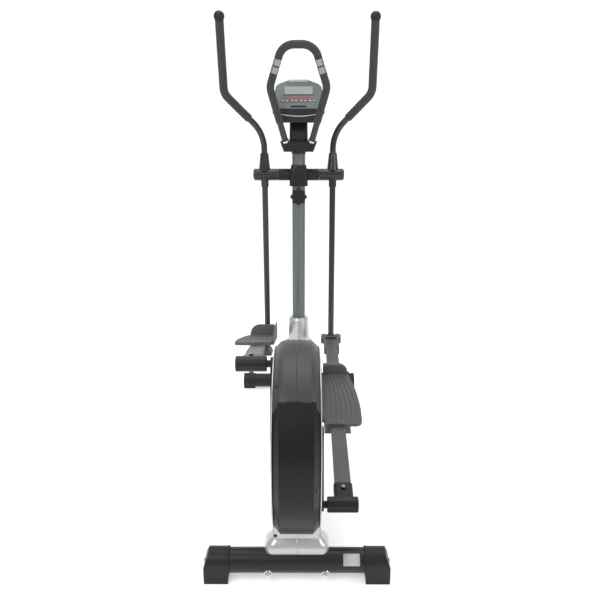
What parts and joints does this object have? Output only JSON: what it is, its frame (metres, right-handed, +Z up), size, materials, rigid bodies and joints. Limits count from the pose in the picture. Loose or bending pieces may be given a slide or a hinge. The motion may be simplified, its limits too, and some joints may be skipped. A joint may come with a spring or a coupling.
{
  "type": "elliptical trainer",
  "caption": "Upright rear-drive cross trainer with swinging handles, long pedal bars, an enclosed drum with belt drive, a fixed handlebar and a small console.",
  "frame": {"origin": "on the floor under the middle of the machine's bounding box", "axes": "+X to the user's right, +Y forward from the drum to the mast, +Z up"},
  "size_m": [0.6353, 1.5715, 1.6813],
  "materials": {
    "black_paint": "satin powder coat",
    "grey_paint": "satin metallic paint",
    "silver_plastic": "silver painted plastic",
    "black_plastic": "fine texture",
    "dark_plastic": "fine texture",
    "console_grey": "satin",
    "foam": "closed-cell foam",
    "red_plastic": "satin",
    "lens": "clear over a grey-green display",
    "key_plastic": "satin",
    "chrome": "polished",
    "steel": "machined",
    "cast_iron": "machined",
    "pulley_plastic": "moulded",
    "rubber": "matt"
  },
  "bodies": {
    "frame": {"rear_stabilizer": "black_paint", "front_stabilizer": "black_paint", "rear_foot_left": "black_plastic", "rear_foot_right": "black_plastic", "foot_plugs": "red_plastic", "front_caps": "black_plastic", "base_rail": "black_paint", "crank_post": "black_paint", "mast": "grey_paint", "mast_boot": "silver_plastic", "hub_covers": "black_plastic", "cross_tube": "black_paint", "swing_shaft": "steel", "upper_post": "grey_paint", "handlebar_clamp": "black_plastic", "fixed_handlebar": "grey_paint", "handlebar_foam": "foam", "pulse_sensors": "chrome", "console_back": "black_plastic", "console_face": "console_grey", "lcd_lens": "lens", "console_panel": "black_plastic", "console_bracket": "black_plastic", "side_shell_left": "silver_plastic", "side_shell_right": "silver_plastic", "rim_cover": "black_plastic", "upper_cover": "dark_plastic", "base_cover_left": "silver_plastic", "base_cover_right": "silver_plastic", "crank_bearings": "steel", "magnet_brake": "steel", "drive_belt": "rubber", "stabilizer_bolts": "chrome"},
    "crank": {"crank_axle": "steel", "drive_pulley": "pulley_plastic", "crank_arm_left": "black_paint", "crank_arm_right": "black_paint"},
    "flywheel": {"flywheel": "cast_iron", "flywheel_axle": "steel"},
    "swing_left": {"swing_arm_left": "grey_paint", "handle_left": "grey_paint", "foam_grip_left": "foam", "grip_cap_left": "black_plastic"},
    "bar_left": {"pedal_bar_left": "grey_paint", "pedal_left": "dark_plastic", "crank_bearing_left": "black_paint"},
    "wheel_left": {"transport_wheel_left": "rubber"},
    "swing_right": {"swing_arm_right": "grey_paint", "handle_right": "grey_paint", "foam_grip_right": "foam", "grip_cap_right": "black_plastic"},
    "bar_right": {"pedal_bar_right": "grey_paint", "pedal_right": "dark_plastic", "crank_bearing_right": "black_paint"},
    "wheel_right": {"transport_wheel_right": "rubber"},
    "knob": {"knob": "black_plastic"},
    "key_1": {"console_key_1": "key_plastic"},
    "key_2": {"console_key_2": "key_plastic"},
    "key_3": {"console_key_3": "key_plastic"},
    "key_4": {"console_key_4": "key_plastic"}
  },
  "joints": [
    {"name": "crank_spin", "type": "hinge", "parent": "frame", "child": "crank", "pos_m": [0, -0.509, 0.3915], "axis": [1, 0, 0], "continuous": true},
    {"name": "flywheel_spin", "type": "hinge", "parent": "frame", "child": "flywheel", "pos_m": [0, -0.403, 0.2855], "axis": [1, 0, 0], "continuous": true},
    {"name": "left_swing", "type": "hinge", "parent": "frame", "child": "swing_left", "pos_m": [0, 0.479, 1.058], "axis": [1, 0, 0], "range_deg": [-22, 15]},
    {"name": "right_swing", "type": "hinge", "parent": "frame", "child": "swing_right", "pos_m": [0, 0.479, 1.058], "axis": [1, 0, 0], "range_deg": [-15, 22]},
    {"name": "left_bar", "type": "hinge", "parent": "swing_left", "child": "bar_left", "pos_m": [-0.141, 0.52605, 0.34956], "axis": [1, 0, 0], "range_deg": [-15, 22]},
    {"name": "right_bar", "type": "hinge", "parent": "swing_right", "child": "bar_right", "pos_m": [0.141, 0.43195, 0.34956], "axis": [1, 0, 0], "range_deg": [-22, 15]},
    {"name": "knob_turn", "type": "hinge", "parent": "frame", "child": "knob", "pos_m": [0, 0.4265, 0.973], "axis": [0, -1, 0], "continuous": true},
    {"name": "key_1_press", "type": "slide", "parent": "frame", "child": "key_1", "axis": [0, 0.9568, -0.2907], "range_m": [0, 0.0012], "stiffness_N_per_m": 400},
    {"name": "key_2_press", "type": "slide", "parent": "frame", "child": "key_2", "axis": [0, 0.9568, -0.2907], "range_m": [0, 0.0012], "stiffness_N_per_m": 400},
    {"name": "key_3_press", "type": "slide", "parent": "frame", "child": "key_3", "axis": [0, 0.9568, -0.2907], "range_m": [0, 0.0012], "stiffness_N_per_m": 400},
    {"name": "key_4_press", "type": "slide", "parent": "frame", "child": "key_4", "axis": [0, 0.9568, -0.2907], "range_m": [0, 0.0012], "stiffness_N_per_m": 400},
    {"name": "wheel_left_roll", "type": "hinge", "parent": "frame", "child": "wheel_left", "pos_m": [-0.24, 0.7585, 0.03], "axis": [1, 0, 0], "continuous": true},
    {"name": "wheel_right_roll", "type": "hinge", "parent": "frame", "child": "wheel_right", "pos_m": [0.24, 0.7585, 0.03], "axis": [1, 0, 0], "continuous": true}
  ],
  "couplings": [
    {"joint": "flywheel_spin", "follows": "crank_spin", "ratio": 5.9},
    {"joint": "right_swing", "follows": "left_swing", "ratio": -1},
    {"joint": "left_bar", "follows": "left_swing", "ratio": -1},
    {"joint": "right_bar", "follows": "left_swing", "ratio": 1}
  ]
}
